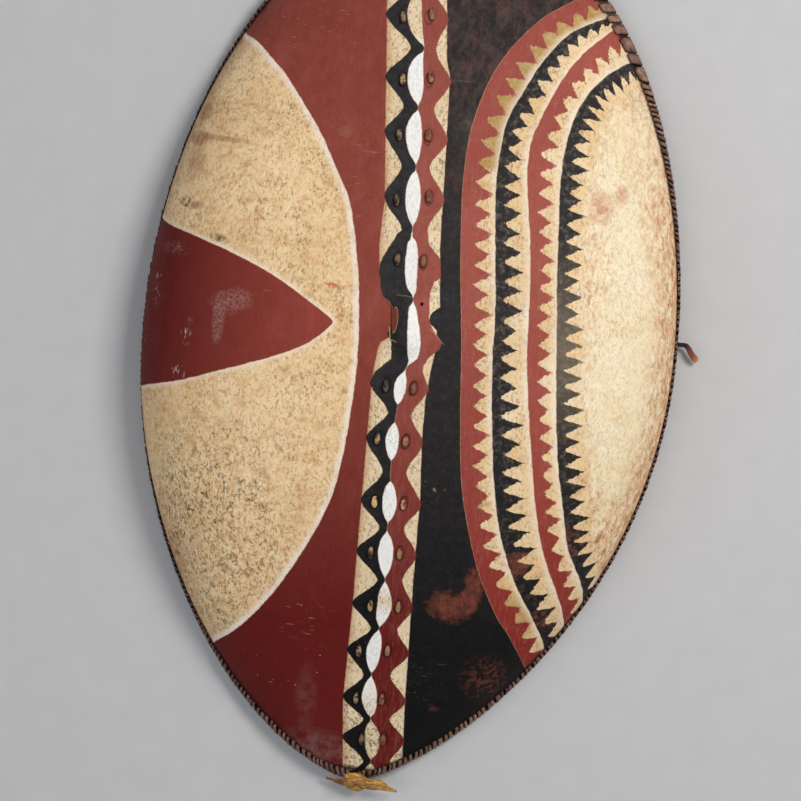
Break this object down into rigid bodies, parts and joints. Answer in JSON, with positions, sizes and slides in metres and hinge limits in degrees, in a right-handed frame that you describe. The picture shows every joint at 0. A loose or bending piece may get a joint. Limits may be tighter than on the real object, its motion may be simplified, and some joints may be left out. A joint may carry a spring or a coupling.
{
  "type": "hide shield",
  "caption": "Domed pointed-oval hide shield with a laced edge, painted face and a carved back stave that bows into a hand grip.",
  "frame": {"origin": "middle of the shield's box, on the floor that its edge rests on", "axes": "+Z out of the painted face, +Y along the length to the top tip, +X across to the saw-toothed side"},
  "size_m": [0.6518, 1.0566, 0.1521],
  "materials": {
    "painted_hide": "earth paint on dry rawhide, worn and specked",
    "laced_hide": "dark reddish-brown rawhide strip, worn on its turns",
    "carved_wood": "knife-carved, oiled by handling",
    "thong_hide": "dark rawhide thong, tan where it has rubbed",
    "pale_hide": "dry golden rawhide"
  },
  "bodies": {
    "root": {"hide_shell": "painted_hide", "edge_lacing": "laced_hide", "back_stave": "carved_wood", "lashing_1": "thong_hide", "lashing_2": "thong_hide", "lashing_3": "thong_hide", "lashing_4": "thong_hide", "lashing_5": "thong_hide", "lashing_6": "thong_hide", "lashing_7": "thong_hide", "lashing_8": "thong_hide", "lashing_9": "thong_hide", "lashing_10": "thong_hide", "lashing_11": "thong_hide", "lashing_12": "thong_hide", "lashing_13": "thong_hide", "lashing_14": "thong_hide", "foot_thong": "pale_hide", "side_thong": "pale_hide"}
  },
  "joints": []
}
